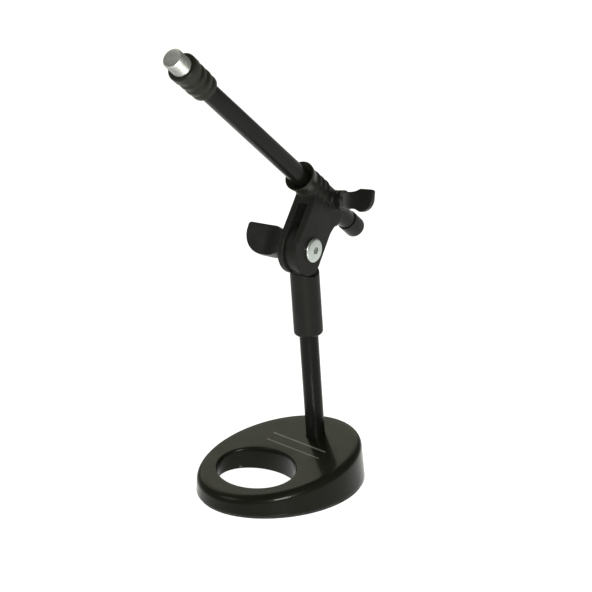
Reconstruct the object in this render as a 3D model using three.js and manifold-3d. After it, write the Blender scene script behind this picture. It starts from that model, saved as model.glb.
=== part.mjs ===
// Desktop microphone stand: an oval weight, a post, and a short boom in a tilting clamp head.
// Millimetres, +Z up. The origin is on the post's axis at the floor, and the hand hole faces -Y.
// Each sub-part is one closed solid in its own named mesh.

import * as THREE from 'three';
import { mergeVertices } from 'three/addons/utils/BufferGeometryUtils.js';
import Module from 'manifold-3d';

const wasm = await Module();
wasm.setup();

// ---------------------------------------------------------------- driving dimensions

const TUBE_R = 7.2; // post and boom tube, outside
const TUBE_WALL = 1.3;
const PLUG_R = 5.7; // plugs pressed into the tubes
const GAP = 0.2; // running clearance between pieces that move
const SEAT = 0.05; // clearance of a piece that is fixed in another
const ROUND = 32; // sides of a turned piece
const SMALL = 18; // sides of a small or hidden one

const BASE = {
  rx: 62, ry: 65.2, cy: -36, // plan ellipse
  postHeight: 31, slope: 0.16, // height of the top at the post, and its rise towards +Y
  edge: 5.9, draft: 0.8, floor: 2, // rounded top edge, side draft, underside above the floor
};
const HOLE = { rx: 37, ry: 25.3, cy: -57.8, lip: 1.8 }; // hand hole and its rounded rim
const POCKET = { wall: 6.5, rear: -12, roof: 7.6 }; // finger room under the hole's rim
const SOCKET = { r: TUBE_R + 0.3, z: 26 }; // seat of the post in the casting
const BOLT_WELL = { r: 11, z: 12 }; // recess for the bolt's head, from below

const POST = { top: 138 };
const SLEEVE = { r: 11.1, bottom: 113.3, shoulder: 164.8, bore: 8.9, boreTop: 153, saddle: 20.6 };
const GROOVE_Z = 145; // groove that holds the sleeve on the post

const PIVOT_Z = 182;
const SWIVEL = 15; // degrees that the head stands turned about the post
const TILT = 44; // degrees that the boom rises towards its tip
const TONGUE = { half: 3.2, r: 18.2, flank: 10.4 };
const CHEEK = { half: 9.3, slot: 3.75, r: 20.1, bevel: 0.8 };
const PIVOT_HOLE_R = 4.3;
const BOLT_R = 4;

const BOOM_Z = 41.9; // boom axis above the pivot, across the boom
const BARREL = { r: 10.5, front: -28.5, rear: 18 };
const BUSH_R = 8.5; // bushes inside the barrel
const MOUTH = { r: 12, y: -38.3 }; // flared lip of the front bush
const BOOM = { tail: 50, front: -179.7, tip: -226.6 };
const RING = { r: 11.45, back: -205.2, front: -213.2 };
const STUD_R = 15.875 / 2; // 5/8 inch microphone thread

const CLAMP = { y: 3, lean: 9, seat: 11.4 }; // clamp screw: place along the barrel, lean, boss end
// Wing knobs: hub radius and length, the wing's two half widths from `full` on, where it has run out
// of the hub past `neck`, its square and round corners, and its thickness from `flat` on.
const PIVOT_KNOB = {
  hubR: 8, hub: 9, neck: [12.4, 9], full: 18.6, half: 12.4, low: 11.2, square: 2.5, round: 18,
  thick: 5.6, flat: 24.6, length: 42.2,
};
const CLAMP_KNOB = {
  hubR: 7.6, hub: 6.5, neck: [4.8, 14], full: 19, half: 8.8, low: 8.6, square: 1.8, round: 10,
  thick: 4.4, flat: 18, length: 30.3,
};

// ---------------------------------------------------------------- materials

const finish = (color, roughness, metalness) =>
  new THREE.MeshStandardMaterial({ color, roughness, metalness });
const GLOSS_BLACK = finish(0x1b1c1a, 0.18, 0.1);
const SATIN_BLACK = finish(0x242523, 0.42, 0.1);
const PLASTIC = finish(0x2a2b29, 0.5, 0);
const RUBBER = finish(0x151515, 0.9, 0);
const ZINC = finish(0xc9ccd0, 0.28, 1);
const NICKEL = finish(0xb4b3ad, 0.3, 1);
const BRASS = finish(0xb08d4a, 0.35, 1);
const FIBRE = finish(0x6d4a35, 0.8, 0);
const NYLON = finish(0xd8d6cc, 0.6, 0);

// ---------------------------------------------------------------- solids

function toSolid(geometry) {
  const bare = geometry.clone();
  bare.deleteAttribute('normal');
  bare.deleteAttribute('uv');
  const merged = mergeVertices(bare, 1e-4);
  return new wasm.Manifold(new wasm.Mesh({
    numProp: 3,
    vertProperties: new Float32Array(merged.attributes.position.array),
    triVerts: new Uint32Array(merged.index.array),
  }));
}

function toGeometry(solid) {
  const mesh = solid.getMesh();
  const geometry = new THREE.BufferGeometry();
  geometry.setAttribute('position', new THREE.BufferAttribute(new Float32Array(mesh.vertProperties), 3));
  geometry.setIndex(new THREE.BufferAttribute(new Uint32Array(mesh.triVerts), 1));
  geometry.computeVertexNormals();
  return geometry;
}

const cut = (body, ...tools) => toGeometry(
  tools.reduce((solid, tool) => solid.subtract(toSolid(tool)), toSolid(body)));
const join = (body, ...others) => toGeometry(
  others.reduce((solid, other) => solid.add(toSolid(other)), toSolid(body)));

// Turned solid about +Z from [radius, z] corners, in either order. A profile off the axis is closed.
function turned(corners, segments = ROUND) {
  const points = corners.map(([r, z]) => new THREE.Vector2(r, z));
  const onAxis = points[0].x === 0 && points[points.length - 1].x === 0;
  if (THREE.ShapeUtils.area(points) < 0) points.reverse();
  if (!onAxis) points.push(points[0].clone());
  return new THREE.LatheGeometry(points, segments).rotateX(Math.PI / 2);
}

const rod = (r, z0, z1, segments = ROUND) => turned([[0, z0], [r, z0], [r, z1], [0, z1]], segments);
const pipe = (r0, r1, z0, z1, segments = ROUND) =>
  turned([[r0, z0], [r1, z0], [r1, z1], [r0, z1]], segments);

// A rod with both end edges broken by a small chamfer.
const pin = (r, z0, z1, chamfer, segments = SMALL) => turned([
  [0, z0], [r - chamfer, z0], [r, z0 + chamfer],
  [r, z1 - chamfer], [r - chamfer, z1], [0, z1],
], segments);

// Quarter-round corner about (r, z): points from angle a0 to a1 in degrees.
function arc(r, z, radius, a0, a1, steps = 3) {
  return Array.from({ length: steps + 1 }, (_, i) => {
    const angle = THREE.MathUtils.degToRad(a0 + (a1 - a0) * i / steps);
    return [r + radius * Math.cos(angle), z + radius * Math.sin(angle)];
  });
}

function block(x0, x1, y0, y1, z0, z1) {
  return new THREE.BoxGeometry(x1 - x0, y1 - y0, z1 - z0)
    .translate((x0 + x1) / 2, (y0 + y1) / 2, (z0 + z1) / 2);
}

// Plate with its outline in Y and Z, standing between x0 and x1, with bevelled edges.
function plate(outline, x0, x1, bevel, curveSegments) {
  const geometry = new THREE.ExtrudeGeometry(outline, {
    depth: x1 - x0 - 2 * bevel, curveSegments,
    bevelEnabled: true, bevelThickness: bevel, bevelSize: bevel, bevelOffset: -bevel,
    bevelSegments: 1,
  });
  geometry.translate(0, 0, x0 + bevel);
  return geometry.applyMatrix4(new THREE.Matrix4().makeBasis(
    new THREE.Vector3(0, 1, 0), new THREE.Vector3(0, 0, 1), new THREE.Vector3(1, 0, 0)));
}

const hexagon = (acrossFlats, z0, z1) =>
  turned([[0, z0], [acrossFlats / Math.sqrt(3), z0], [acrossFlats / Math.sqrt(3), z1], [0, z1]], 6);

const alongX = (geometry) => geometry.rotateY(Math.PI / 2);
const alongMinusX = (geometry) => geometry.rotateY(-Math.PI / 2);
const alongY = (geometry) => geometry.rotateX(-Math.PI / 2);

function piece(name, geometry, material) {
  const mesh = new THREE.Mesh(geometry, material);
  mesh.name = name;
  return mesh;
}

// ---------------------------------------------------------------- base

// Turned form stretched to an ellipse. Its upper part follows the sloping top.
function slopedOval(corners, { rx, ry, cy }, segments) {
  const geometry = turned(corners, segments).scale(rx, ry, 1).translate(0, cy, 0);
  const place = geometry.attributes.position;
  for (let i = 0; i < place.count; i += 1) {
    const z = place.getZ(i);
    if (z > BASE.postHeight / 2) place.setZ(i, z + BASE.slope * place.getY(i));
  }
  return geometry;
}

function baseCasting() {
  const { rx, postHeight, edge, draft, floor } = BASE;
  const inner = 1 - (draft + edge) / rx;
  const body = slopedOval([
    [0, floor], [1 - 0.8 / rx, floor], [1, floor + 0.8],
    ...arc(inner, 0, 1, 0, 90, 4).map(([r, z]) =>
      [inner + (r - inner) * edge / rx, postHeight - edge + z * edge]),
    [0, postHeight],
  ], BASE, 64);
  const rim = HOLE.lip / HOLE.rx;
  const handHole = slopedOval([
    [0, -10], [1, -10],
    ...arc(1 + rim, 0, 1, 180, 90, 2).map(([r, z]) =>
      [1 + rim + (r - 1 - rim) * rim, postHeight - HOLE.lip + z * HOLE.lip]),
    [1 + rim, postHeight + 10], [0, postHeight + 10],
  ], HOLE, 48);
  const room = rod(1, floor - 5, POCKET.roof, 48)
    .scale(rx - POCKET.wall, BASE.ry - POCKET.wall, 1).translate(0, BASE.cy, 0);
  const fingerRoom = toSolid(room).subtract(toSolid(block(-80, 80, POCKET.rear, 60, -10, 40)));
  const solid = toSolid(body).subtract(toSolid(handHole)).subtract(fingerRoom)
    .subtract(toSolid(rod(SOCKET.r, SOCKET.z, 60)))
    .subtract(toSolid(rod(BOLT_WELL.r, -5, BOLT_WELL.z)))
    .subtract(toSolid(rod(4.5, 0, 60, SMALL)));
  return piece('base_casting', toGeometry(solid), GLOSS_BLACK);
}

function basePad() {
  const inset = 1.6;
  const outline = new THREE.Shape();
  outline.absellipse(0, BASE.cy, BASE.rx - inset, BASE.ry - inset, 0, 2 * Math.PI, false);
  const rx = BASE.rx - POCKET.wall;
  const ry = BASE.ry - POCKET.wall;
  const side = Math.asin((POCKET.rear - BASE.cy) / ry);
  const opening = new THREE.Path();
  opening.absellipse(0, BASE.cy, rx, ry, Math.PI - side, 2 * Math.PI + side, false);
  opening.closePath();
  outline.holes.push(opening);
  const sheet = new THREE.ExtrudeGeometry(outline,
    { depth: BASE.floor, bevelEnabled: false, curveSegments: 20 });
  return piece('base_pad', sheet, RUBBER);
}

function baseBolt() {
  const head = hexagon(13, BOLT_WELL.z - 7.6, BOLT_WELL.z - 2.1);
  const bolt = join(head, pin(BOLT_R, BOLT_WELL.z - 5, SOCKET.z + 10, 0.6));
  return piece('base_bolt', bolt, ZINC);
}

const baseWasher = () =>
  piece('base_washer', pipe(BOLT_R + GAP, 9, BOLT_WELL.z - 1.8, BOLT_WELL.z - GAP, SMALL), ZINC);

// ---------------------------------------------------------------- post

const tubeSection = (z0, z1) => pipe(TUBE_R - TUBE_WALL, TUBE_R, z0, z1, 40);

const postTube = () =>
  piece('post_tube', tubeSection(SOCKET.z + GAP, POST.top), GLOSS_BLACK);

function footPlug() {
  const plug = pipe(BOLT_R + SEAT, PLUG_R, SOCKET.z + 0.5, SOCKET.z + 22, SMALL);
  return piece('foot_plug', plug, NICKEL);
}

function topPlug() {
  const neck = TUBE_R - 1.8;
  const plug = turned([
    [0, POST.top - 16], [PLUG_R, POST.top - 16], [PLUG_R, POST.top + GAP],
    [TUBE_R, POST.top + GAP], [TUBE_R, GROOVE_Z - 2.2], [neck, GROOVE_Z - 2.2],
    [neck, GROOVE_Z + 2.2], [TUBE_R, GROOVE_Z + 2.2],
    [TUBE_R, SLEEVE.boreTop - 0.4], [0, SLEEVE.boreTop - 0.4],
  ]);
  return piece('top_plug', plug, NICKEL);
}

// ---------------------------------------------------------------- swivel sleeve (turns on the post)

function swivelSleeve() {
  const { r, bottom, shoulder, bore, boreTop, saddle } = SLEEVE;
  const body = turned([
    [0, bottom], ...arc(r - 2.6, bottom + 2.6, 2.6, -90, 0),
    [r, shoulder - 1], [r - 1, shoulder], [0, shoulder],
  ], 40);
  const cradled = cut(body, alongX(rod(saddle, -20, 20, 64)).translate(0, 0, PIVOT_Z));
  const { flank } = TONGUE;
  const drop = Math.acos(flank / TONGUE.r);
  const outline = new THREE.Shape();
  outline.moveTo(-flank, shoulder - 6);
  outline.lineTo(flank, shoulder - 6);
  outline.lineTo(flank, PIVOT_Z - TONGUE.r * Math.sin(drop));
  outline.absarc(0, PIVOT_Z, TONGUE.r, -drop, Math.PI + drop, false);
  outline.closePath();
  const tongue = plate(outline, -TONGUE.half, TONGUE.half, 0.4, 14);
  const screwHole = rod(2.5, 4, 20, SMALL).rotateX(-Math.PI / 2).translate(0, 0, GROOVE_Z);
  const sleeve = cut(join(cradled, tongue),
    rod(bore, bottom - 1, boreTop),
    alongX(rod(PIVOT_HOLE_R, -10, 10, SMALL)).translate(0, 0, PIVOT_Z),
    screwHole);
  return piece('swivel_sleeve', sleeve, SATIN_BLACK);
}

function swivelLiner() {
  const { bore, bottom } = SLEEVE;
  const inner = TUBE_R + 0.1;
  const liner = pipe(inner, bore - SEAT, bottom + 0.6, GROOVE_Z - 3);
  return piece('swivel_liner', liner, NYLON);
}

function sleeveGrubScrew() {
  const screw = cut(turned([
    [0, 5.7], [1.3, 5.7], [1.3, 7.4], [2.4, 7.6], [2.4, 10.8], [0, 10.8],
  ], SMALL), hexagon(2.5, 8.6, 12));
  return piece('sleeve_grub_screw', alongY(screw).translate(0, 0, GROOVE_Z), ZINC);
}

// ---------------------------------------------------------------- clamp head (pivot at its origin)

function cheekOutline() {
  const outline = new THREE.Shape();
  outline.absarc(0, 0, CHEEK.r, Math.PI, THREE.MathUtils.degToRad(320), false);
  outline.lineTo(15.3, -6);
  outline.lineTo(14.1, 8.2);
  outline.lineTo(13.2, 18);
  outline.quadraticCurveTo(13.2, 26, BARREL.rear, 30.5);
  outline.lineTo(BARREL.rear, BOOM_Z);
  outline.lineTo(-22, BOOM_Z);
  outline.lineTo(-21.8, 34);
  outline.closePath();
  return outline;
}

function barrel() {
  const { r, front, rear } = BARREL;
  const ribs = [-25, -18, -11].flatMap((y) => [[r, y - 1.7], [r + 0.6, y], [r, y + 1.7]]);
  const profile = [[0, front], [r - 0.8, front], [r, front + 0.8], ...ribs,
    [r, rear - 1], [r - 1, rear], [0, rear]];
  return alongY(turned(profile, 40)).translate(0, 0, BOOM_Z);
}

// Direction of the clamp screw, pointing out of the barrel.
function onClampAxis(geometry) {
  return alongX(geometry).rotateY(-THREE.MathUtils.degToRad(CLAMP.lean)).translate(0, CLAMP.y, BOOM_Z);
}

function clampHead() {
  const web = 27.5; // top of the slot
  const slab = plate(cheekOutline(), -CHEEK.half, CHEEK.half, CHEEK.bevel, 12);
  const boss = onClampAxis(turned([
    [0, 5], [7.6, 5], [7.6, CLAMP.seat - 0.8], [6.8, CLAMP.seat], [0, CLAMP.seat]], 28));
  const body = join(slab, barrel(), boss);
  const head = cut(body,
    block(-CHEEK.slot, CHEEK.slot, -60, 60, -40, web),
    alongX(rod(PIVOT_HOLE_R, -20, 20, SMALL)),
    alongY(rod(BUSH_R, BARREL.front - 5, -4)).translate(0, 0, BOOM_Z),
    alongY(rod(TUBE_R + 0.5, -5, 30)).translate(0, 0, BOOM_Z),
    alongY(rod(BUSH_R, 12, 30)).translate(0, 0, BOOM_Z),
    onClampAxis(rod(3.5, 0, 20, SMALL)));
  return piece('clamp_head', head, SATIN_BLACK);
}

function frictionWasher(side) {
  const name = side < 0 ? 'friction_washer_left' : 'friction_washer_right';
  const washer = alongX(pipe(PIVOT_HOLE_R + 0.2, 13, TONGUE.half + 0.08, CHEEK.slot - 0.08, 24));
  if (side < 0) washer.rotateZ(Math.PI);
  return piece(name, washer, FIBRE);
}

function pivotBolt() {
  const head = 9.3;
  const seat = CHEEK.half + SEAT;
  const domed = alongX(turned([
    [0, seat - 2], [BOLT_R, seat - 2], [BOLT_R, seat], [head - 0.5, seat], [head, seat + 0.5],
    [head, seat + 1.2], [head - 0.4, seat + 2.1], [head - 1.2, seat + 2.4], [5, seat + 2.8],
    [0, seat + 2.9],
  ]));
  const shank = alongX(pin(BOLT_R, -25, seat, 0.6));
  const socket = alongX(hexagon(5.2, seat + 0.6, seat + 6));
  return piece('pivot_bolt', cut(join(domed, shank), socket), ZINC);
}

const pivotWasher = () => piece('pivot_washer',
  alongMinusX(pipe(BOLT_R + GAP, 8.6, CHEEK.half + 0.15, CHEEK.half + 1.55, 24)), ZINC);

// Outline of a wing in X and Z: one square corner and one large round one at its free end.
function wingOutline({ hubR, hub, neck, full, half, low, square, round, length }) {
  const [x, z] = neck;
  const wing = new THREE.Shape();
  wing.moveTo(-hubR + 1, hub / 2);
  wing.lineTo(hubR - 1, hub / 2);
  wing.quadraticCurveTo(x, z, half, full);
  wing.lineTo(half - 0.5, length - square);
  wing.absarc(half - 0.5 - square, length - square, square, 0, Math.PI / 2, false);
  wing.lineTo(-low + round, length);
  wing.absarc(-low + round, length - round, round, Math.PI / 2, Math.PI, false);
  wing.lineTo(-low, full);
  wing.quadraticCurveTo(-Math.min(x, low), z, -hubR + 1, hub / 2);
  return wing;
}

// Outline of a wing's thickness in Y and Z: as thick as the hub, then hollowed down to a flat ear.
function wingFlank({ hubR, hub, thick, flat, length }) {
  const ear = thick / 2;
  const wide = hubR - 0.4;
  const knee = hub + 0.35 * (flat - hub);
  const flank = new THREE.Shape();
  flank.moveTo(-wide, 0);
  flank.lineTo(wide, 0);
  flank.lineTo(wide, hub - 1);
  flank.quadraticCurveTo(ear + 0.6, knee, ear, flat);
  flank.lineTo(ear, length + 1);
  flank.lineTo(-ear, length + 1);
  flank.lineTo(-ear, flat);
  flank.quadraticCurveTo(-ear - 0.6, knee, -wide, hub - 1);
  return flank;
}

// Wing knob along +Z from its seat at z = 0, with the wing's face towards +Y.
function wingKnob(size, bore, boreDepth) {
  const { hubR, hub, half } = size;
  const body = turned([
    [0, 0], [hubR - 0.6, 0], [hubR, 0.6], [hubR, hub - 1.5], [hubR - 1.2, hub], [0, hub],
  ], 28);
  const blade = new THREE.ExtrudeGeometry(wingOutline(size), {
    depth: 2 * hubR, curveSegments: 5, bevelEnabled: false,
  }).translate(0, 0, -hubR).rotateX(Math.PI / 2);
  const wedge = plate(wingFlank(size), -half, half, 1.2, 6);
  const wing = toGeometry(toSolid(blade).intersect(toSolid(wedge)));
  return cut(join(body, wing), rod(bore, -1, boreDepth, SMALL));
}

const placeOnPivot = (geometry) => alongMinusX(geometry).translate(-CHEEK.half - 1.7, 0, 0);

function pivotKnob() {
  const knob = cut(wingKnob(PIVOT_KNOB, BOLT_R + 0.25, 15.4), hexagon(13, -1, 6.4))
    .rotateZ(THREE.MathUtils.degToRad(-10));
  return piece('pivot_knob', placeOnPivot(knob), PLASTIC);
}

function pivotNut() {
  const nut = cut(hexagon(12.9, 0.1, 6.3), rod(BOLT_R + 0.1, -1, 8, SMALL))
    .rotateZ(THREE.MathUtils.degToRad(-10));
  return piece('pivot_nut', placeOnPivot(nut), ZINC);
}

// ---------------------------------------------------------------- boom clamp

function boomBush() {
  const { front } = BARREL;
  const { r, y } = MOUTH;
  const inner = TUBE_R + 0.1;
  const bush = turned([
    [inner, -5], [inner, y + 4.5], [9.2, y + 2.2], [r - 0.7, y], [r - 0.2, y], [r, y + 0.5],
    [r - 0.4, y + 3], [10.8, y + 7], [10.4, front - GAP],
    [BUSH_R - SEAT, front - GAP], [BUSH_R - SEAT, -5],
  ]);
  return piece('boom_bush', alongY(bush).translate(0, 0, BOOM_Z), PLASTIC);
}

function rearBush() {
  const bush = pipe(TUBE_R + 0.1, BUSH_R - SEAT, 12.2, BARREL.rear - 0.3);
  return piece('rear_bush', alongY(bush).translate(0, 0, BOOM_Z), PLASTIC);
}

const pressurePad = () =>
  piece('pressure_pad', onClampAxis(rod(3.2, TUBE_R + 0.15, TUBE_R + 2, SMALL)), BRASS);

const clampScrew = () =>
  piece('clamp_screw', onClampAxis(pin(3.2, TUBE_R + 3.6, CLAMP.seat + 9, 0.5)), ZINC);

function clampKnob() {
  const knob = wingKnob(CLAMP_KNOB, 3.3, 9).rotateZ(THREE.MathUtils.degToRad(-160));
  return piece('clamp_knob', onClampAxis(knob.translate(0, 0, CLAMP.seat + 0.3)), PLASTIC);
}

// ---------------------------------------------------------------- boom (slides through the head)

const onBoom = (geometry) => alongY(geometry).translate(0, 0, BOOM_Z);

const boomTube = () => piece('boom_tube', onBoom(tubeSection(RING.back + 0.4, BOOM.tail)), GLOSS_BLACK);

function boomTailCap() {
  const skirt = TUBE_R + 0.75;
  const cap = turned([
    [TUBE_R + SEAT, BOOM.tail - 13], [skirt, BOOM.tail - 13],
    ...arc(skirt - 4.2, BOOM.tail - 1, 4.2, 0, 90), [0, BOOM.tail + 3.4],
    [0, BOOM.tail + GAP], [TUBE_R + SEAT, BOOM.tail + GAP],
  ]);
  return piece('boom_tail_cap', onBoom(cap), PLASTIC);
}

function boomFerrule() {
  const inner = TUBE_R + SEAT;
  const ribs = [-190, -198].flatMap((y) => [
    [9.95, y + 3.4], [10.85, y + 1.1], [10.85, y - 1.1], [10.1, y - 3.4],
  ]);
  const ferrule = turned([
    [inner, BOOM.front], [10.35, BOOM.front], [10.35, BOOM.front - 3.8], [9.9, BOOM.front - 5.6],
    ...ribs, [10.2, RING.back + GAP], [inner, RING.back + GAP],
  ], 36);
  return piece('boom_ferrule', onBoom(ferrule), PLASTIC);
}

function lockRing() {
  const { r, back, front } = RING;
  const ring = turned([
    [STUD_R + 0.1, back], [r - 0.9, back], [r, back - 0.9],
    [r, front + 1.2], [r - 1.2, front], [STUD_R + 0.1, front],
  ], 40);
  return piece('lock_ring', onBoom(ring), PLASTIC);
}

function micStud() {
  const stud = turned([
    [0, -188], [PLUG_R, -188], [PLUG_R, RING.back],
    [STUD_R, RING.back], [STUD_R, BOOM.tip + 1], [STUD_R - 0.9, BOOM.tip], [0, BOOM.tip],
  ]);
  return piece('mic_stud', onBoom(stud), NICKEL);
}

// ---------------------------------------------------------------- assembly

const stand = new THREE.Group();
stand.add(baseCasting(), basePad(), baseBolt(), baseWasher(), postTube(), footPlug(), topPlug());

const swivel = new THREE.Group();
swivel.rotation.z = THREE.MathUtils.degToRad(SWIVEL);
swivel.add(swivelSleeve(), swivelLiner(), sleeveGrubScrew());
stand.add(swivel);

const head = new THREE.Group();
head.position.z = PIVOT_Z;
head.rotation.x = THREE.MathUtils.degToRad(-TILT);
head.add(clampHead(), frictionWasher(-1), frictionWasher(1), pivotBolt(), pivotWasher(),
  pivotKnob(), pivotNut(), boomBush(), rearBush(), pressurePad(), clampScrew(), clampKnob());
swivel.add(head);
head.add(boomTube(), boomTailCap(), boomFerrule(), lockRing(), micStud());

export default stand;
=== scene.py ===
"""Looks of a desktop microphone stand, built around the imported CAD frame. Metres, +Z up."""

import math

import bmesh
import bpy
from mathutils import Matrix, Vector


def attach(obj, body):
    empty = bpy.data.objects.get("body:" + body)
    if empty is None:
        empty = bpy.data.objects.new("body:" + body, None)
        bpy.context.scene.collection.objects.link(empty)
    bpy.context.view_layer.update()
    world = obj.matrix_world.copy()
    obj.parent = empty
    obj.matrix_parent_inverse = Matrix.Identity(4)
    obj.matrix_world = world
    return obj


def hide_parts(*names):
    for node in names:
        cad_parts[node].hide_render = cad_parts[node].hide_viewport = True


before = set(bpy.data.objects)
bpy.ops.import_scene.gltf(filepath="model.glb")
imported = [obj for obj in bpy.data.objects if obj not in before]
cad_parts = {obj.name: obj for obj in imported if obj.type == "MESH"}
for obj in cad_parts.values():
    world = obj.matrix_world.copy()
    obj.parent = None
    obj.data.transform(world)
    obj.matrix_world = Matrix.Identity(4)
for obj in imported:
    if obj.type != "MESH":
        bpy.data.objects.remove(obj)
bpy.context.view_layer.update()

MM = 0.001

# ---------------------------------------------------------------- sizes in mm, as in the CAD

TUBE_R, TUBE_WALL = 7.2, 1.3
POST_FOOT, POST_TOP = 26.2, 138.0
BOOM_TIP, BOOM_TAIL = -204.8, 50.0
BASE_RX, BASE_RY, BASE_CY = 62.0, 65.2, -36.0
TOP_Z, SLOPE, EDGE, DRAFT, FLOOR_GAP, FOOT_EDGE = 31.0, 0.16, 5.9, 0.8, 2.0, 0.9
HOLE_RX, HOLE_RY, HOLE_CY, LIP = 37.0, 25.3, -57.8, 1.8
POCKET_WALL, POCKET_REAR, POCKET_ROOF = 6.5, -12.0, 7.6
SOCKET_FLOOR, SOCKET_GAP, WELL_R, WELL_ROOF, BOLT_HOLE_R = 26.0, 0.3, 11.0, 12.0, 4.5
PIVOT_Z, BOOM_Z = 182.0, 41.9
SLEEVE_R, SLEEVE_BOTTOM, SHOULDER, SADDLE = 11.1, 113.3, 164.8, 20.6
LINER_R, LINER_TOP, GRUB_Z, GRUB_R = 8.9, 153.0, 145.0, 2.5
TONGUE_HALF, TONGUE_R, TONGUE_FLANK = 3.2, 18.2, 10.4
CHEEK, SLOT, CHEEK_R, PIN_HOLE_R = 9.3, 3.75, 20.1, 4.3
BARREL_R, BARREL_FRONT, BARREL_REAR, BUSH_R, BOOM_HOLE_R = 10.5, -28.5, 18.0, 8.5, 7.7
CLAMP_Y, CLAMP_LEAN, CLAMP_SEAT, BOSS_R, CLAMP_HOLE_R = 3.0, 9.0, 11.4, 7.6, 3.5
STUD_R = 15.875 / 2
THREAD_PITCH = 25.4 / 27
STUD_TIP, STUD_FOOT = -226.6, -205.2

# ---------------------------------------------------------------- places

UNIT = Matrix.Scale(MM, 4)


def turn(degrees, axis):
    return Matrix.Rotation(math.radians(degrees), 4, axis)


def shift(x, y, z):
    return Matrix.Translation((x, y, z))


STAND = Matrix.Identity(4)
SWIVEL = turn(15, "Z")
HEAD = SWIVEL @ shift(0, 0, PIVOT_Z) @ turn(-44, "X")
BOOM = HEAD @ shift(0, 0, BOOM_Z) @ turn(-90, "X")
BOLT_SIDE = HEAD @ turn(90, "Y")
KNOB_SIDE = HEAD @ turn(-90, "Y")
PIVOT_KNOB = KNOB_SIDE @ shift(0, 0, CHEEK + 1.7) @ turn(-10, "Z")
CLAMP = HEAD @ shift(0, CLAMP_Y, BOOM_Z) @ turn(-CLAMP_LEAN, "Y") @ turn(90, "Y")
CLAMP_KNOB = CLAMP @ shift(0, 0, CLAMP_SEAT + 0.3) @ turn(-160, "Z")

# ---------------------------------------------------------------- mesh building


def new_mesh(name, points, faces):
    mesh = bpy.data.meshes.new(name)
    mesh.from_pydata([tuple(p) for p in points], [], faces)
    mesh.update()
    return mesh


def new_object(name, mesh):
    obj = bpy.data.objects.new(name, mesh)
    bpy.context.scene.collection.objects.link(obj)
    return obj


def remove(obj):
    bpy.data.objects.remove(obj, do_unlink=True)


def soften(corners, closed=False, steps=5):
    """Corners of (r, z) or (r, z, radius) with each radius worked in as an arc."""
    out = []
    n = len(corners)
    for i, corner in enumerate(corners):
        here = Vector(corner[:2])
        radius = corner[2] if len(corner) > 2 else 0
        if radius == 0 or (not closed and i in (0, n - 1)):
            out.append(tuple(here))
            continue
        before, after = Vector(corners[i - 1][:2]), Vector(corners[(i + 1) % n][:2])
        u, v = (before - here), (after - here)
        room = 0.49 * min(u.length, v.length)
        u.normalize()
        v.normalize()
        half = math.acos(max(-1, min(1, u.dot(v)))) / 2
        reach = min(radius / math.tan(half), room)
        radius = reach * math.tan(half)
        centre = here + (u + v).normalized() * radius / math.sin(half)
        start = here + u * reach - centre
        sweep = start.angle_signed(here + v * reach - centre)
        for k in range(steps + 1):
            a = -sweep * k / steps
            c, s = math.cos(a), math.sin(a)
            out.append((centre.x + start.x * c - start.y * s,
                        centre.y + start.x * s + start.y * c))
    return out


def turned(name, corners, sides=96, steps=5):
    """Turned solid about Z. The profile is closed if it stays off the axis."""
    closed = corners[0][0] > 0 or corners[-1][0] > 0
    profile = soften(corners, closed, steps)
    points, rings = [], []
    for r, z in profile:
        if r <= 1e-6:
            rings.append([len(points)])
            points.append((0, 0, z))
            continue
        rings.append(list(range(len(points), len(points) + sides)))
        points += ring_points(r, z, sides)
    faces = []
    pairs = list(zip(rings, rings[1:])) + ([(rings[-1], rings[0])] if closed else [])
    for low, high in pairs:
        for k in range(sides):
            j = (k + 1) % sides
            if len(low) == 1 and len(high) == 1:
                break
            if len(low) == 1:
                faces.append((low[0], high[j], high[k]))
            elif len(high) == 1:
                faces.append((low[k], low[j], high[0]))
            else:
                faces.append((low[k], low[j], high[j], high[k]))
    obj = new_object(name, new_mesh(name, points, faces))
    outward(obj)
    return obj


def outward(obj):
    """Merges points that coincide and turns every face outward."""
    bm = bmesh.new()
    bm.from_mesh(obj.data)
    bmesh.ops.remove_doubles(bm, verts=bm.verts, dist=1e-5)
    bmesh.ops.recalc_face_normals(bm, faces=bm.faces)
    bm.to_mesh(obj.data)
    bm.free()


def slab(name, outline, start, end, bevel, axis="X"):
    """Prism of a closed outline (YZ along X, or XZ along Y) with rounded cap edges."""
    bm = bmesh.new()
    if axis == "X":
        ring = [bm.verts.new((start, a, b)) for a, b in outline]
        move = Vector((end - start, 0, 0))
    else:
        ring = [bm.verts.new((a, start, b)) for a, b in outline]
        move = Vector((0, end - start, 0))
    face = bm.faces.new(ring)
    extruded = bmesh.ops.extrude_face_region(bm, geom=[face])
    tops = [v for v in extruded["geom"] if isinstance(v, bmesh.types.BMVert)]
    bmesh.ops.translate(bm, verts=tops, vec=move)
    bmesh.ops.recalc_face_normals(bm, faces=bm.faces)
    if bevel:
        along = 0 if axis == "X" else 1
        rims = [e for e in bm.edges
                if abs(e.verts[0].co[along] - e.verts[1].co[along]) < 1e-6]
        bmesh.ops.bevel(bm, geom=rims, offset=bevel, segments=3, profile=0.5,
                        affect="EDGES")
    mesh = bpy.data.meshes.new(name)
    bm.to_mesh(mesh)
    bm.free()
    return new_object(name, mesh)


def rod(name, r, z0, z1, sides=96):
    """Plain cylinder about Z, for cutting."""
    return turned(name, [(0, z0), (r, z0), (r, z1), (0, z1)], sides)


def hexagon(name, across, z0, z1):
    return rod(name, across / math.sqrt(3), z0, z1, sides=6)


def ring_points(r, z, sides):
    """Points round a circle about Z, at a height."""
    return [(r * math.cos(math.tau * k / sides), r * math.sin(math.tau * k / sides), z)
            for k in range(sides)]


def place(obj, matrix):
    obj.data.transform(matrix)
    return obj


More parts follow.
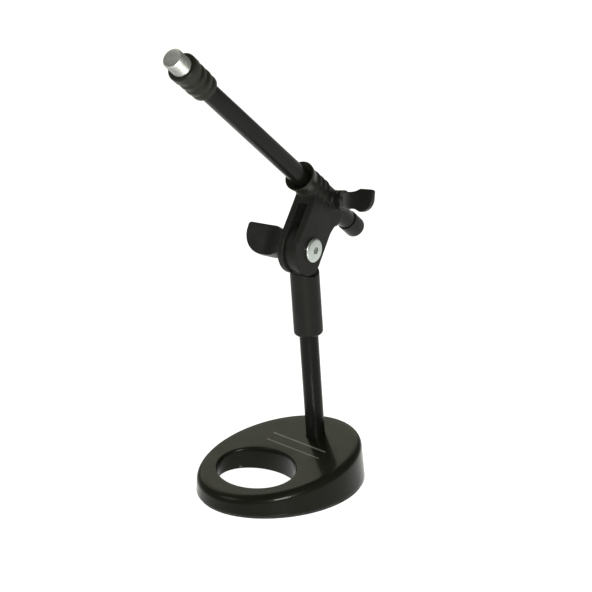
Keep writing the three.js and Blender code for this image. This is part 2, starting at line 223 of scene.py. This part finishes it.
def bake(obj):
    """Applies the object's modifiers to its mesh."""
    bpy.context.view_layer.update()
    graph = bpy.context.evaluated_depsgraph_get()
    mesh = bpy.data.meshes.new_from_object(obj.evaluated_get(graph))
    obj.modifiers.clear()
    obj.data = mesh
    return obj


def combine(obj, operation, *tools):
    for tool in tools:
        mod = obj.modifiers.new("cut", "BOOLEAN")
        mod.operation = operation
        mod.solver = "EXACT"
        mod.object = tool
    bake(obj)
    for tool in tools:
        remove(tool)
    return obj


def cut(obj, *tools):
    return combine(obj, "DIFFERENCE", *tools)


def moulded(name, voxel, smooth, *parts):
    """One skin over overlapping parts, with its inner corners filled as a casting's are."""
    bm = bmesh.new()
    for part in parts:
        bm.from_mesh(part.data)
    mesh = bpy.data.meshes.new(name)
    bm.to_mesh(mesh)
    bm.free()
    obj = new_object(name, mesh)
    remesh = obj.modifiers.new("skin", "REMESH")
    remesh.mode = "VOXEL"
    remesh.voxel_size = voxel
    ease = obj.modifiers.new("ease", "SMOOTH")
    ease.factor = 0.5
    ease.iterations = smooth
    bake(obj)
    for part in parts:
        remove(part)
    return obj


def done(obj, matrix, material, body, slot, *nodes, sharp=38):
    """Puts a finished piece in place, in metres, with its material, body and CAD nodes."""
    obj.data.transform(UNIT @ matrix)
    mesh = obj.data
    mesh.materials.clear()
    mesh.materials.append(material)
    for polygon in mesh.polygons:
        polygon.use_smooth = True
    mesh.set_sharp_from_angle(angle=math.radians(sharp))
    mesh.name = obj.name
    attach(obj, body)
    if nodes:
        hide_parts(*nodes)
    return obj


# ---------------------------------------------------------------- materials


class Nodes:
    """A material's node tree, with short calls for what its graphs need."""

    def __init__(self, name, color, roughness, metallic=0.0):
        self.material = bpy.data.materials.new(name)
        self.material.use_nodes = True
        self.tree = self.material.node_tree
        self.shader = next(n for n in self.tree.nodes if n.type == "BSDF_PRINCIPLED")
        self.shader.inputs["Base Color"].default_value = (*color, 1)
        self.shader.inputs["Roughness"].default_value = roughness
        self.shader.inputs["Metallic"].default_value = metallic
        self.place = self.add("ShaderNodeTexCoord").outputs["Object"]

    def add(self, kind, **inputs):
        node = self.tree.nodes.new(kind)
        for key, value in inputs.items():
            socket = node.inputs[key.replace("_", " ")]
            if isinstance(value, bpy.types.NodeSocket):
                self.tree.links.new(value, socket)
            else:
                socket.default_value = value
        return node

    def set(self, **values):
        for key, value in values.items():
            self.shader.inputs[key.replace("_", " ")].default_value = value
        return self

    def noise(self, scale, detail=3.0, rough=0.5, vector=None):
        return self.add("ShaderNodeTexNoise", Vector=vector or self.place, Scale=scale,
                        Detail=detail, Roughness=rough).outputs["Fac"]

    def stretch(self, x, y, z):
        return self.add("ShaderNodeMapping", Vector=self.place, Scale=(x, y, z)).outputs["Vector"]

    def span(self, value, low, high, start=0.3, end=0.7):
        node = self.add("ShaderNodeMapRange", Value=value)
        node.inputs["From Min"].default_value = start
        node.inputs["From Max"].default_value = end
        node.inputs["To Min"].default_value = low
        node.inputs["To Max"].default_value = high
        return node.outputs["Result"]

    def roughness(self, value):
        self.tree.links.new(value, self.shader.inputs["Roughness"])
        return self

    def color(self, factor, first, second):
        """Base colour that varies between two, where first is a colour or a socket."""
        mix = self.add("ShaderNodeMix")
        mix.data_type = "RGBA"
        self.tree.links.new(factor, mix.inputs["Factor"])
        colors = [s for s in mix.inputs if s.type == "RGBA"]
        if isinstance(first, bpy.types.NodeSocket):
            self.tree.links.new(first, colors[0])
        else:
            colors[0].default_value = (*first, 1)
        colors[1].default_value = (*second, 1)
        result = next(s for s in mix.outputs if s.type == "RGBA")
        self.tree.links.new(result, self.shader.inputs["Base Color"])
        return self

    def blend_color(self, factor, other):
        """Lays another colour over the base colour made so far."""
        return self.color(factor, self.shader.inputs["Base Color"].links[0].from_socket, other)

    def bump(self, *heights):
        """Each height is (value, strength, distance in metres)."""
        normal = None
        for value, strength, distance in heights:
            node = self.add("ShaderNodeBump", Height=value, Strength=strength, Distance=distance)
            if normal is not None:
                self.tree.links.new(normal, node.inputs["Normal"])
            normal = node.outputs["Normal"]
        self.tree.links.new(normal, self.shader.inputs["Normal"])
        return self

    def worn_edge(self, low=0.6, high=0.75):
        """1 on sharp convex edges, in patches, and 0 elsewhere."""
        convex = self.add("ShaderNodeNewGeometry").outputs["Pointiness"]
        patches = self.span(self.noise(140, 4, 0.6), 0, 1, 0.45, 0.62)
        product = self.add("ShaderNodeMath")
        product.operation = "MULTIPLY"
        self.tree.links.new(self.span(convex, 0, 1, low, high), product.inputs[0])
        self.tree.links.new(patches, product.inputs[1])
        return product.outputs["Value"]


def gloss_paint(name, color, second, peel_scale, roughness, coat, coat_roughness):
    m = Nodes(name, color, roughness)
    m.set(Specular_IOR_Level=0.07, Coat_Weight=coat, Coat_Roughness=coat_roughness, Coat_IOR=1.22)
    m.color(m.span(m.noise(22, 4), 0, 1), color, second)
    m.blend_color(m.worn_edge(), (0.016, 0.0165, 0.013))
    m.roughness(m.span(m.noise(60, 5, 0.6), roughness - 0.05, roughness + 0.07))
    m.bump((m.noise(peel_scale, 2, 0.4), 0.10, 0.0002), (m.noise(35, 2), 0.12, 0.0004))
    return m.material


def satin_paint(name, color, second):
    m = Nodes(name, color, 0.42)
    m.set(Specular_IOR_Level=0.1)
    m.color(m.span(m.noise(30, 5, 0.6), 0, 1), color, second)
    m.blend_color(m.worn_edge(), (0.03, 0.03, 0.027))
    m.roughness(m.span(m.noise(90, 5, 0.65), 0.38, 0.52))
    m.bump((m.noise(1500, 3, 0.6), 0.22, 0.00008), (m.noise(260, 3), 0.14, 0.00015))
    return m.material


def plastic(name, color, second, roughness):
    m = Nodes(name, color, roughness)
    m.set(Specular_IOR_Level=0.13)
    m.color(m.span(m.noise(45, 4, 0.6), 0, 1), color, second)
    m.roughness(m.span(m.noise(70, 5, 0.6), roughness - 0.06, roughness + 0.07))
    m.bump((m.noise(2200, 2, 0.5), 0.25, 0.00005), (m.noise(180, 3), 0.10, 0.0002))
    return m.material


def plated(name, color, second, roughness, streak):
    m = Nodes(name, color, roughness, metallic=1.0)
    m.color(m.span(m.noise(160, 5, 0.65), 0, 1), color, second)
    fine = m.noise(420, 3, 0.5, m.stretch(*streak))
    m.roughness(m.span(fine, roughness - 0.04, roughness + 0.07))
    m.bump((fine, 0.12, 0.00003), (m.noise(150, 2), 0.10, 0.00006))
    return m.material


def dull(name, color, second, roughness, grain, depth):
    m = Nodes(name, color, roughness)
    m.color(m.span(m.noise(80, 5, 0.6), 0, 1), color, second)
    m.roughness(m.span(m.noise(120, 4), roughness - 0.08, min(1, roughness + 0.08)))
    m.bump((m.noise(grain, 4, 0.6), 0.4, depth))
    return m.material


CASTING = gloss_paint("casting_gloss_black", (0.0034, 0.0036, 0.0018), (0.0054, 0.0057, 0.0032),
                      700, 0.32, 0.5, 0.07)
TUBE = gloss_paint("tube_gloss_black", (0.0036, 0.0037, 0.003), (0.0054, 0.0056, 0.0046),
                   1100, 0.33, 0.25, 0.15)
SATIN = satin_paint("cast_satin_black", (0.007, 0.0072, 0.0062), (0.0105, 0.0108, 0.0094))
PLASTIC = plastic("moulded_black", (0.0044, 0.0044, 0.004), (0.0068, 0.0068, 0.0062), 0.34)
COLLAR = plastic("collar_black", (0.0075, 0.0077, 0.0054), (0.0125, 0.0127, 0.0095), 0.34)
RUBBER = dull("pad_rubber", (0.008, 0.008, 0.008), (0.014, 0.014, 0.0135), 0.85, 900, 0.0002)
ZINC = plated("zinc_plate", (0.54, 0.57, 0.54), (0.38, 0.42, 0.40), 0.3, (1, 1, 1))
NICKEL = plated("nickel_plate", (0.49, 0.487, 0.475), (0.37, 0.37, 0.357), 0.42, (1, 1, 1))
BRASS = plated("brass_turned", (0.72, 0.53, 0.25), (0.6, 0.43, 0.2), 0.3, (1, 1, 6))
FIBRE = dull("fibre_washer", (0.05, 0.035, 0.02), (0.08, 0.055, 0.032), 0.8, 700, 0.0002)
NYLON = dull("nylon_liner", (0.62, 0.61, 0.57), (0.7, 0.69, 0.65), 0.5, 500, 0.0001)
PRINT = dull("printed_stripe", (0.08, 0.082, 0.066), (0.12, 0.122, 0.1), 0.45, 600, 0.00003)

for node, material in {
    "base_bolt": ZINC, "base_washer": ZINC, "foot_plug": NICKEL, "top_plug": NICKEL,
    "swivel_liner": NYLON, "sleeve_grub_screw": ZINC, "rear_bush": PLASTIC,
    "pressure_pad": BRASS, "clamp_screw": ZINC, "pivot_nut": ZINC,
}.items():
    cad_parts[node].data.materials.clear()
    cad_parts[node].data.materials.append(material)

# ---------------------------------------------------------------- base


def ray_ellipse(angle, rx, ry, cy):
    """Distance from the hand hole's centre to an ellipse about (0, cy), at that angle."""
    c, s = math.cos(angle), math.sin(angle)
    y = HOLE_CY - cy
    a = c * c / rx ** 2 + s * s / ry ** 2
    b = 2 * y * s / ry ** 2
    d = y * y / ry ** 2 - 1
    return (-b + math.sqrt(b * b - 4 * a * d)) / (2 * a)


def oval(rx, ry, cy, z, sides, sloped, rear=None):
    """Ring round the hand hole's centre: an ellipse, cut off straight at y = rear if given."""
    ring = []
    for k in range(sides):
        angle = math.tau * k / sides
        reach = ray_ellipse(angle, rx, ry, cy)
        if rear is not None and math.sin(angle) > 0:
            reach = min(reach, (rear - HOLE_CY) / math.sin(angle))
        x, y = reach * math.cos(angle), HOLE_CY + reach * math.sin(angle)
        ring.append((x, y, z + SLOPE * y if sloped else z))
    return ring


def loft(name, rings):
    """Closed skin through rings of equal count, the last joined to the first."""
    sides = len(rings[0])
    points = [p for ring in rings for p in ring]
    faces = []
    for i in range(len(rings)):
        a, b = i * sides, (i + 1) % len(rings) * sides
        for k in range(sides):
            j = (k + 1) % sides
            faces.append((a + k, a + j, b + j, b + k))
    obj = new_object(name, new_mesh(name, points, faces))
    outward(obj)
    return obj


def base_shell():
    """Sloping oval weight with a hand hole and a hollow underside round it."""
    sides = 256

    def outer(factor, z, sloped=True):
        return oval(BASE_RX * factor, BASE_RY * factor, BASE_CY, z, sides, sloped)

    def hole(grow, z, sloped=True):
        rx, ry = HOLE_RX + grow, HOLE_RY + grow * HOLE_RY / HOLE_RX
        return oval(rx, ry, HOLE_CY, z, sides, sloped)

    def between(low, high, count):
        """Rings spaced evenly between two others."""
        return [[tuple(Vector(p).lerp(Vector(q), k / count)) for p, q in zip(low, high)]
                for k in range(1, count)]

    inner = 1 - (DRAFT + EDGE) / BASE_RX
    rings = [hole(0, POCKET_ROOF, False), hole(0, 11, False)]
    rings += [hole(0, TOP_Z - LIP - 6 + 2 * k) for k in range(3)]
    for k in range(7):
        a = math.radians(90 * k / 6)
        rings.append(hole(LIP * (1 - math.cos(a)), TOP_Z - LIP + LIP * math.sin(a)))
    rings += between(hole(LIP, TOP_Z), outer(inner, TOP_Z), 8)
    for k in range(11):
        a = math.radians(90 - 90 * k / 10)
        factor = inner + EDGE / BASE_RX * math.cos(a)
        rings.append(outer(factor, TOP_Z - EDGE + EDGE * math.sin(a)))
    rings += between(rings[-1], outer(1, FLOOR_GAP + FOOT_EDGE, False), 8)
    for k in range(4):
        a = math.radians(90 * k / 3)
        factor = 1 - FOOT_EDGE / BASE_RX * (1 - math.cos(a))
        rings.append(outer(factor, FLOOR_GAP + FOOT_EDGE - FOOT_EDGE * math.sin(a), False))
    for z in (FLOOR_GAP, POCKET_ROOF):
        rings.append(oval(BASE_RX - POCKET_WALL, BASE_RY - POCKET_WALL, BASE_CY, z, sides, False,
                          POCKET_REAR))
    return cut(loft("base_shell", rings),
               rod("socket", TUBE_R + SOCKET_GAP, SOCKET_FLOOR, 60),
               rod("well", WELL_R, -5, WELL_ROOF),
               rod("bore", BOLT_HOLE_R, 0, 60, 48))


done(base_shell(), STAND, CASTING, "base", "gloss_black", "base_casting", sharp=30)


def base_foot():
    """Rubber pad under the casting: a rim all round, and a solid part at the back."""
    sides = 256
    inset, soft = 1.6, 0.35
    rings = []
    for grow, z in ((0, FLOOR_GAP), (0, soft), (-soft, 0)):
        rx, ry = BASE_RX - inset + grow, BASE_RY - inset + grow
        rings.append(oval(rx, ry, BASE_CY, z, sides, False))
    for grow, z in ((-soft, 0), (0, soft), (0, FLOOR_GAP)):
        rings.append(oval(BASE_RX - POCKET_WALL - grow, BASE_RY - POCKET_WALL - grow, BASE_CY, z,
                          sides, False, POCKET_REAR))
    return loft("base_foot", rings)


done(base_foot(), STAND, RUBBER, "base", "rubber", "base_pad")


def stripe(name, x0, y0, x1, y1, half):
    """Thin straight stripe printed on the sloping top, rising a little above it."""
    sunk, lift = -0.05, 0.02
    along = Vector((x1 - x0, y1 - y0, 0)).normalized()
    side = Vector((-along.y, along.x, 0)) * half
    corners = [Vector((x0, y0, 0)) - side, Vector((x1, y1, 0)) - side,
               Vector((x1, y1, 0)) + side, Vector((x0, y0, 0)) + side]
    points = []
    for height in (sunk, lift):
        points += [(p.x, p.y, TOP_Z + SLOPE * p.y + height) for p in corners]
    faces = [(3, 2, 1, 0), (4, 5, 6, 7)]
    faces += [(k, (k + 1) % 4, (k + 1) % 4 + 4, k + 4) for k in range(4)]
    return new_object(name, new_mesh(name, points, faces))


done(stripe("printed_stripe_long", -31, -16.5, 29, -13.5, 0.7), STAND, PRINT, "base",
     "gloss_black")
done(stripe("printed_stripe_short", -28, -25.5, 32, -22.5, 0.5), STAND, PRINT, "base",
     "gloss_black")

# ---------------------------------------------------------------- post and sleeve


def tube(name, z0, z1):
    inner = TUBE_R - TUBE_WALL
    return turned(name, [(inner, z0, 0.2), (TUBE_R, z0, 0.35),
                         (TUBE_R, z1, 0.35), (inner, z1, 0.2)])


done(tube("post", POST_FOOT, POST_TOP), STAND, TUBE, "base", "gloss_black_tube", "post_tube")


def sleeve():
    """Cylinder on the post with a flat tongue for the pivot."""
    body = turned("swivel_barrel", [
        (0, SLEEVE_BOTTOM), (SLEEVE_R, SLEEVE_BOTTOM, 2.6),
        (SLEEVE_R, SHOULDER, 1.0), (0, SHOULDER),
    ], steps=8)
    at_pivot = shift(0, 0, PIVOT_Z) @ turn(90, "Y")
    cut(body, place(rod("saddle", SADDLE, -20, 20, 192), at_pivot))
    low = PIVOT_Z - math.sqrt(TONGUE_R * TONGUE_R - TONGUE_FLANK * TONGUE_FLANK)
    outline = [(-TONGUE_FLANK, SHOULDER - 6), (TONGUE_FLANK, SHOULDER - 6), (TONGUE_FLANK, low)]
    start = math.atan2(low - PIVOT_Z, TONGUE_FLANK)
    for k in range(1, 40):
        a = start + (math.pi - 2 * start) * k / 40
        outline.append((TONGUE_R * math.cos(a), PIVOT_Z + TONGUE_R * math.sin(a)))
    outline.append((-TONGUE_FLANK, low))
    combine(body, "UNION", slab("tongue", outline, -TONGUE_HALF, TONGUE_HALF, 0.5))
    return cut(body,
               rod("bore", LINER_R, 100, LINER_TOP),
               place(rod("pin_hole", PIN_HOLE_R, -10, 10, 48), at_pivot),
               place(rod("screw_hole", GRUB_R, 4, 20, 48),
                     shift(0, 0, GRUB_Z) @ turn(-90, "X")))


done(sleeve(), SWIVEL, SATIN, "swivel", "satin_black", "swivel_sleeve", sharp=30)

# ---------------------------------------------------------------- clamp head


def arc_points(cy, cz, r, start, end, steps=28):
    """Points along an arc about (cy, cz), between two angles in degrees."""
    return [(cy + r * math.cos(math.radians(start + (end - start) * k / steps)),
             cz + r * math.sin(math.radians(start + (end - start) * k / steps)))
            for k in range(steps + 1)]


def bend(p0, p1, p2, steps=9):
    """Points between the ends of a quadratic curve."""
    p0, p1, p2 = Vector(p0), Vector(p1), Vector(p2)
    return [tuple((1 - t) ** 2 * p0 + 2 * t * (1 - t) * p1 + t * t * p2)
            for t in (k / steps for k in range(1, steps))]


def cheek_outline():
    """Side of one cheek in Y and Z: round about the pivot, then straight up to the barrel."""
    return (arc_points(0, 0, CHEEK_R, 180, 320) + [(15.3, -6), (14.1, 8.2), (13.2, 18)]
            + bend((13.2, 18), (13.2, 26), (18, 30.5))
            + [(18, 30.5), (18, BOOM_Z), (-22, BOOM_Z), (-21.8, 34)])


def web_outline():
    """Side of the web that joins the cheeks under the barrel, in Y and Z."""
    return [(-21.3, 27.5), (16.3, 27.5), (18, 30.5), (18, BOOM_Z), (-22, BOOM_Z), (-21.8, 34)]


def clamp_head():
    """Two cheeks, the web, the ribbed barrel and the clamp's boss, cast as one."""
    along_boom = shift(0, 0, BOOM_Z) @ turn(-90, "X")
    along_screw = HEAD.inverted() @ CLAMP
    crest = BARREL_R + 0.8
    valley = BARREL_R - 0.1
    ribs = []
    for y in (-25, -18, -11):
        ribs += [(valley, y - 2.1, 0.7), (crest, y - 0.6, 0.5),
                 (crest, y + 0.6, 0.5), (valley, y + 2.1, 0.7)]
    barrel = turned("barrel", [(0, BARREL_FRONT), (BARREL_R, BARREL_FRONT, 0.6)] + ribs
                    + [(BARREL_R, BARREL_REAR, 1.0), (0, BARREL_REAR)])
    boss = turned("boss", [(0, 5), (BOSS_R, 5), (BOSS_R, CLAMP_SEAT, 0.8), (0, CLAMP_SEAT)])
    head = moulded("clamp_body", 0.36, 7,
                   slab("cheek_a", cheek_outline(), -CHEEK, -SLOT, 0.9),
                   slab("cheek_b", cheek_outline(), SLOT, CHEEK, 0.9),
                   slab("web", web_outline(), -CHEEK + 0.05, CHEEK - 0.05, 0.4),
                   place(barrel, along_boom), place(boss, along_screw))
    return cut(head,
               place(rod("pin_hole", PIN_HOLE_R, -20, 20, 48), turn(90, "Y")),
               place(rod("bush_bore", BUSH_R, -40, -4), along_boom),
               place(rod("tube_bore", BOOM_HOLE_R, -5, 14), along_boom),
               place(rod("rear_bore", BUSH_R, 12, 30), along_boom),
               place(rod("screw_bore", CLAMP_HOLE_R, 0, 20, 48), along_screw))


done(clamp_head(), HEAD, SATIN, "head", "satin_black", "clamp_head", sharp=45)


def washer(name, inner, outer, z0, z1, soft=0.25):
    return turned(name, [(inner, z0, soft), (outer, z0, soft),
                         (outer, z1, soft), (inner, z1, soft)], steps=3)


for side, matrix in (("right", BOLT_SIDE), ("left", KNOB_SIDE)):
    done(washer("washer_" + side, 4.5, 13, 3.28, 3.67, 0.1), matrix, FIBRE, "head", "fibre",
         "friction_washer_" + side)
done(washer("knob_washer", 4.2, 8.6, CHEEK + 0.15, CHEEK + 1.55), KNOB_SIDE, ZINC, "head", "zinc",
     "pivot_washer")


def bolt():
    """Bolt along the pivot with a domed head and a hexagon socket."""
    shank_r, head_r, socket_across = 4, 9.3, 5.2
    seat = CHEEK + 0.05
    body = turned("pivot_bolt_domed", [
        (0, -25), (shank_r, -25, 0.6), (shank_r, seat - 0.3, 0.2), (shank_r, seat),
        (head_r, seat, 0.4), (head_r, seat + 1.5, 0.7), (8.0, seat + 2.45, 1.2),
        (4.5, seat + 2.8), (0, seat + 2.9),
    ], steps=6)
    return cut(body, hexagon("drive", socket_across, seat + 0.7, seat + 6))


done(bolt(), BOLT_SIDE, ZINC, "head", "zinc", "pivot_bolt", sharp=30)

# ---------------------------------------------------------------- knobs

# A wing knob stands on its hub, widens past the neck to its full width, and ends in an ear.
PIVOT_WING = dict(hub_r=8, hub=9, neck=(12.4, 9), full=18.6, half=12.4, low=11.2, square=2.5,
                  round_r=18, thick=5.6, flat=24.6, length=42.2)
CLAMP_WING = dict(hub_r=7.6, hub=6.5, neck=(4.8, 14), full=19, half=8.8, low=8.6, square=1.8,
                  round_r=10, thick=4.4, flat=18, length=30.3)


def wing_outline(hub_r, hub, neck, full, half, low, square, round_r, length):
    """Face of the wing in X and Z, with one square corner and one large round one."""
    x, z = neck
    side = half - 0.5 - square
    return ([(1 - hub_r, hub / 2), (hub_r - 1, hub / 2)]
            + bend((hub_r - 1, hub / 2), (x, z), (half, full)) + [(half, full)]
            + arc_points(side, length - square, square, 0, 90, 8)
            + arc_points(-low + round_r, length - round_r, round_r, 90, 180, 20) + [(-low, full)]
            + bend((-low, full), (-min(x, low), z), (1 - hub_r, hub / 2)))


def wing_flank(hub_r, hub, thick, flat, length):
    """Thickness of the wing in Y and Z: as thick as the hub, then hollowed down to a flat ear."""
    ear, wide = thick / 2, hub_r - 0.4
    knee = hub + 0.35 * (flat - hub)
    return ([(-wide, 0.4), (wide, 0.4), (wide, hub - 1)]
            + bend((wide, hub - 1), (ear + 0.6, knee), (ear, flat)) + [(ear, flat)]
            + [(ear, length + 1), (-ear, length + 1), (-ear, flat)]
            + bend((-ear, flat), (-ear - 0.6, knee), (-wide, hub - 1)) + [(-wide, hub - 1)])


def wing_knob(name, size, bore, depth, *extra):
    """Moulded knob on Z with a blind hole from below, and any extra cutters."""
    hub_r, hub, half, length = size["hub_r"], size["hub"], size["half"], size["length"]
    body = turned("hub", [(0, 0), (hub_r, 0, 0.6), (hub_r, hub, 1.5), (0, hub)])
    face = {key: size[key] for key in size if key not in ("thick", "flat")}
    blade = slab("wing", wing_outline(**face), -hub_r, hub_r, 0, axis="Y")
    flank = wing_flank(hub_r, hub, size["thick"], size["flat"], length)
    combine(blade, "INTERSECT", slab("wedge", flank, -half, half, 1.2))
    knob = moulded(name, 0.3, 10, body, blade)
    return cut(knob, rod("bore", bore, -1, depth, 48), *extra)


done(wing_knob("pivot_wing", PIVOT_WING, 4.25, 15.4, hexagon("well", 13, -1, 6.4)), PIVOT_KNOB,
     PLASTIC, "pivot_knob", "black_plastic", "pivot_knob", sharp=45)
done(wing_knob("clamp_wing", CLAMP_WING, 3.3, 9), CLAMP_KNOB, PLASTIC,
     "clamp_knob", "black_plastic", "clamp_knob", sharp=45)

# ---------------------------------------------------------------- boom

done(turned("boom_mouth", [
    (7.3, -5), (7.3, -33.8, 0.8), (9.2, -36.1, 1.5), (11.3, -38.3, 0.4), (12.0, -38.3, 0.5),
    (11.7, -35.4, 2.5), (10.7, -31.3, 2.5), (10.4, -28.7, 0.3), (8.45, -28.7), (8.45, -5),
]), BOOM, COLLAR, "head", "black_plastic", "boom_bush")

done(tube("boom_rod", BOOM_TIP, BOOM_TAIL), BOOM, TUBE, "boom", "gloss_black_tube", "boom_tube")

done(turned("boom_end_cap", [
    (7.25, 37, 0.2), (7.95, 37, 0.35), (7.95, 53.2, 4.0), (0, 53.4), (0, 50.2), (7.25, 50.2),
], steps=10), BOOM, PLASTIC, "boom", "black_plastic", "boom_tail_cap")


def ferrule():
    bore, rear, front, crest = 7.25, -179.7, -205.0, 10.9
    corners = [(bore, rear), (10.35, rear, 0.8), (10.35, -183.6, 0.8), (9.85, -185.6, 0.8)]
    for y in (-190, -198):
        corners += [(9.9, y + 3.6, 1.0), (crest, y + 1.4, 1.2), (crest, y - 1.4, 1.2),
                    (10.0, y - 3.7, 1.0)]
    corners += [(10.2, -203.2, 0.6), (10.2, front, 0.3), (bore, front)]
    return turned("boom_collar", corners, steps=6)


done(ferrule(), BOOM, COLLAR, "boom", "black_plastic", "boom_ferrule", sharp=50)

done(turned("stud_ring", [
    (8.04, STUD_FOOT, 0.2), (11.45, STUD_FOOT, 0.9), (11.45, -213.2, 1.2), (8.04, -213.2, 0.4),
], steps=6), BOOM, COLLAR, "lock_ring", "black_plastic", "lock_ring")


def thread_radius(height, angle_share):
    """Radius of the thread at a height above the stud's tip, at a share of a whole turn."""
    depth, crest, flank = 0.52, 0.85, 0.6
    plain, lead_in, chamfer, chamfer_slope = 0.4, 1.0, 1.0, 0.9
    phase = (height / THREAD_PITCH - angle_share) % 1
    tooth = 1 - abs(2 * phase - 1)
    groove = max(0, min(1, (crest - tooth) / flank))
    run = min(1, max(0, (height - plain) / lead_in))
    r = STUD_R - depth * groove * run
    return min(r, STUD_R - max(0, chamfer - height) * chamfer_slope)


def stud():
    """Threaded stud with a chamfered tip, and a plain shank inside the boom."""
    sides, rings_per_turn = 72, 9
    shank_r, shank_end = 5.7, -188.4
    step = THREAD_PITCH / rings_per_turn
    points, rings = [], []

    def add_ring(ring):
        rings.append(list(range(len(points), len(points) + sides)))
        points.extend(ring)

    for i in range(int((STUD_FOOT - STUD_TIP) / step) + 1):
        z = STUD_TIP + i * step
        ring = []
        for k in range(sides):
            r = thread_radius(z - STUD_TIP, k / sides)
            a = math.tau * k / sides
            ring.append((r * math.cos(a), r * math.sin(a), z))
        add_ring(ring)
    for r, z in ((shank_r, STUD_FOOT), (shank_r, shank_end), (shank_r - 0.4, shank_end + 0.4)):
        add_ring(ring_points(r, z, sides))
    faces = []
    for a, b in zip(rings, rings[1:]):
        faces += [(a[k], a[(k + 1) % sides], b[(k + 1) % sides], b[k]) for k in range(sides)]
    faces.append(tuple(rings[-1]))
    edge = rings[0]
    end_r = STUD_R - 0.9
    for scale, dish in ((0.93, 0.12), (0.6, 0.16)):
        add_ring(ring_points(end_r * scale, STUD_TIP + dish, sides))
        ring = rings[-1]
        faces += [(edge[(k + 1) % sides], edge[k], ring[k], ring[(k + 1) % sides])
                  for k in range(sides)]
        edge = ring
    faces.append(tuple(reversed(edge)))
    obj = new_object("threaded_stud", new_mesh("threaded_stud", points, faces))
    outward(obj)
    return obj


done(stud(), BOOM, NICKEL, "boom", "nickel", "mic_stud", sharp=60)

# ---------------------------------------------------------------- floor, light and camera


def stage_floor():
    """Pale glossy floor that glows a little, as a lit sweep does."""
    half = 6
    corners = [(-half, -half, 0), (half, -half, 0), (half, half, 0), (-half, half, 0)]
    mesh = new_mesh("floor", corners, [(0, 1, 2, 3)])
    floor = new_object("floor", mesh)
    m = Nodes("pale_floor", (0.4, 0.4, 0.395), 0.8)
    m.set(Specular_IOR_Level=0.1, Coat_Weight=1, Coat_Roughness=0.03, Coat_IOR=1.5,
          Emission_Color=(1, 1, 0.99, 1), Emission_Strength=1.1)
    mesh.materials.append(m.material)


stage_floor()

AZIMUTH, ELEVATION, ROLL = math.radians(53.5), math.radians(20.8), math.radians(3.95)
RIGHT = Vector((math.cos(AZIMUTH), math.sin(AZIMUTH), 0))
TOWARD = Vector((math.sin(AZIMUTH), -math.cos(AZIMUTH), 0))  # from the object to the camera
LIGHT_TARGET = Vector((0, -0.03, 0.15))


def soft_light(name, azimuth, elevation, distance, width, height, watts, color=(1, 1, 1)):
    """Area light. Azimuth is in degrees, 0 on the camera's side and growing to its right."""
    a, e = math.radians(azimuth), math.radians(elevation)
    out = (TOWARD * math.cos(a) + RIGHT * math.sin(a)) * math.cos(e) + Vector((0, 0, math.sin(e)))
    light = bpy.data.lights.new(name, "AREA")
    light.shape = "RECTANGLE"
    light.size, light.size_y = width, height
    light.energy = watts
    light.color = color
    obj = new_object(name, light)
    obj.location = LIGHT_TARGET + out * distance
    obj.rotation_euler = (-out).to_track_quat("-Z", "Y").to_euler()


soft_light("panel_back", -173, 31, 1.7, 2.0, 1.0, 5.4, (1, 1, 0.78))
soft_light("box_front", 0, 18, 1.5, 0.5, 0.14, 24, (1, 1, 0.94))
soft_light("side_left", -84, 33, 1.5, 0.6, 0.5, 2.0)

world = bpy.data.worlds.new("studio")
bpy.context.scene.world = world
world.use_nodes = True
world.node_tree.nodes["Background"].inputs["Color"].default_value = (0.96, 1.0, 0.88, 1)
world.node_tree.nodes["Background"].inputs["Strength"].default_value = 0.26

IMAGE, SENSOR = 592, 36  # the picture's width in points and the sensor's in mm
SCALE = 1.31  # image points to a millimetre, at the origin
DISTANCE = 3000  # mm, far enough for a flat view
ACROSS, UP = 16.87, -133.9  # where the origin lies from the picture's centre, in millimetres


def add_camera():
    back = TOWARD * math.cos(ELEVATION) + Vector((0, 0, math.sin(ELEVATION)))
    up = back.cross(RIGHT)
    rolled_right = RIGHT * math.cos(ROLL) - up * math.sin(ROLL)
    rolled_up = RIGHT * math.sin(ROLL) + up * math.cos(ROLL)
    place_mm = back * DISTANCE - rolled_right * ACROSS - rolled_up * UP
    data = bpy.data.cameras.new("camera")
    data.sensor_width = SENSOR
    data.lens = SENSOR * SCALE * DISTANCE / IMAGE
    data.clip_end = 30
    camera = new_object("camera", data)
    basis = Matrix((rolled_right, rolled_up, back)).transposed().to_4x4()
    basis.translation = place_mm * MM
    camera.matrix_world = basis
    bpy.context.scene.camera = camera


add_camera()
bpy.context.scene.view_settings.view_transform = "Standard"
